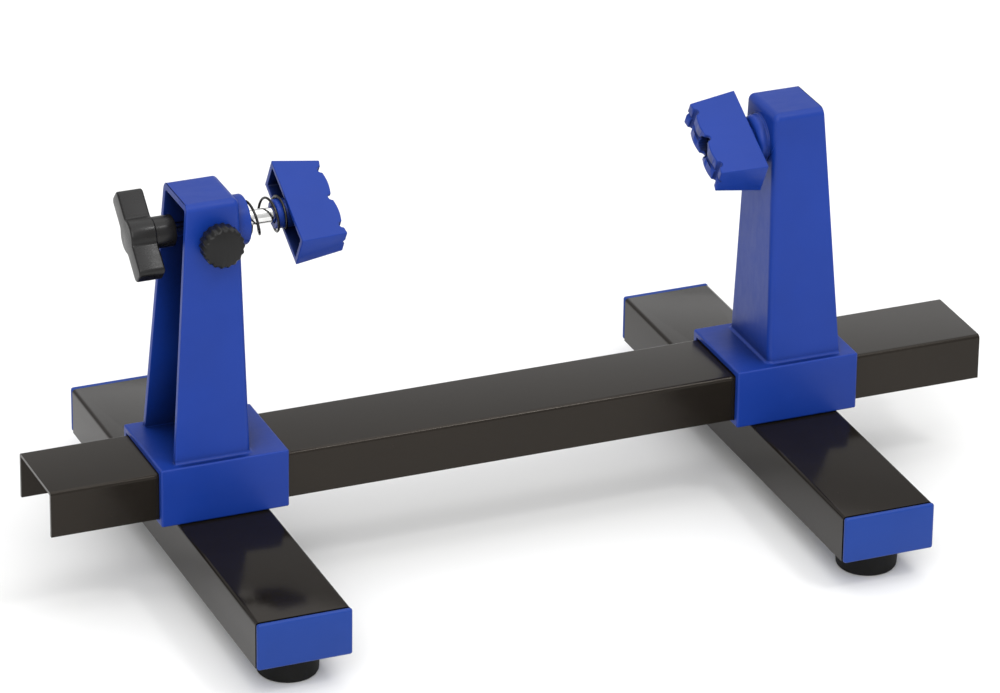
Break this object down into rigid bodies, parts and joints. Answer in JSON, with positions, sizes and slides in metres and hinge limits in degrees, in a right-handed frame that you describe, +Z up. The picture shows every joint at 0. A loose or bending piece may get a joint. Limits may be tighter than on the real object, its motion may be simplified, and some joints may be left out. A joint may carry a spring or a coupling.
{
  "type": "circuit board holder",
  "caption": "Bench stand for a circuit board: sliding uprights on a steel rail hold turning jaws, one on a sprung spindle with a wing knob and clamp knob.",
  "frame": {"origin": "middle of the rail's length and width, on the floor under the rubber feet", "axes": "+X along the rail from the spindle stand to the plain stand, -Y to the front where the clamp knob is, +Z up"},
  "size_m": [0.295, 0.1634, 0.1222],
  "materials": {
    "blue_moulding": "satin blue moulded plastic with a fine texture",
    "blue_cap": "satin blue moulded plastic",
    "blue_jaw": "satin blue moulded plastic",
    "painted_steel": "semi-gloss black painted sheet steel",
    "foot_rubber": "matte black rubber",
    "black_knob": "satin black moulded plastic",
    "zinc_screws": "zinc plated steel",
    "chromed_shaft": "bright plated steel",
    "spring_wire": "blackened spring steel",
    "brass_insert": "plain brass"
  },
  "bodies": {
    "rail": {"rail": "painted_steel"},
    "left_stand": {"left_post": "blue_moulding", "left_foot_bar": "painted_steel", "left_front_cap": "blue_cap", "left_rear_cap": "blue_cap", "left_front_rubber_foot": "foot_rubber", "left_rear_rubber_foot": "foot_rubber", "left_bar_screw_front": "zinc_screws", "left_bar_screw_rear": "zinc_screws", "clamp_insert": "brass_insert"},
    "right_stand": {"right_post": "blue_moulding", "right_foot_bar": "painted_steel", "right_front_cap": "blue_cap", "right_rear_cap": "blue_cap", "right_front_rubber_foot": "foot_rubber", "right_rear_rubber_foot": "foot_rubber", "right_bar_screw_front": "zinc_screws", "right_bar_screw_rear": "zinc_screws", "right_pivot_screw": "zinc_screws", "right_pivot_washer": "zinc_screws", "right_pivot_nut": "zinc_screws"},
    "spindle_slider": {"spring": "spring_wire"},
    "spindle": {"spindle_shaft": "chromed_shaft", "wing_knob": "black_knob", "left_jaw": "blue_jaw", "left_jaw_screw": "zinc_screws"},
    "right_jaw": {"right_jaw": "blue_jaw"},
    "clamp_stud": {"clamp_screw": "zinc_screws"},
    "clamp_handle": {"clamp_knob": "black_knob"}
  },
  "joints": [
    {"name": "left_stand_slide", "type": "slide", "parent": "rail", "child": "left_stand", "axis": [1, 0, 0], "range_m": [-0.032, 0.055]},
    {"name": "right_stand_slide", "type": "slide", "parent": "rail", "child": "right_stand", "axis": [1, 0, 0], "range_m": [-0.055, 0.041]},
    {"name": "spindle_slide", "type": "slide", "parent": "left_stand", "child": "spindle_slider", "axis": [1, 0, 0], "range_m": [-0.008, 0.004], "stiffness_N_per_m": 600, "springref_m": 0.006, "deforming": ["spring"]},
    {"name": "spindle_turn", "type": "hinge", "parent": "spindle_slider", "child": "spindle", "pos_m": [-0.0953, 0, 0.11], "axis": [1, 0, 0], "continuous": true},
    {"name": "right_jaw_turn", "type": "hinge", "parent": "right_stand", "child": "right_jaw", "pos_m": [0.0861, 0, 0.11], "axis": [1, 0, 0], "continuous": true},
    {"name": "clamp_travel", "type": "slide", "parent": "left_stand", "child": "clamp_stud", "axis": [0, -1, 0], "range_m": [0, 0.0014]},
    {"name": "clamp_turn", "type": "hinge", "parent": "clamp_stud", "child": "clamp_handle", "pos_m": [-0.0953, 0, 0.11], "axis": [0, -1, 0], "range_deg": [0, 720]}
  ],
  "couplings": [
    {"joint": "clamp_turn", "follows": "clamp_travel", "rad_per_m": 8976}
  ]
}
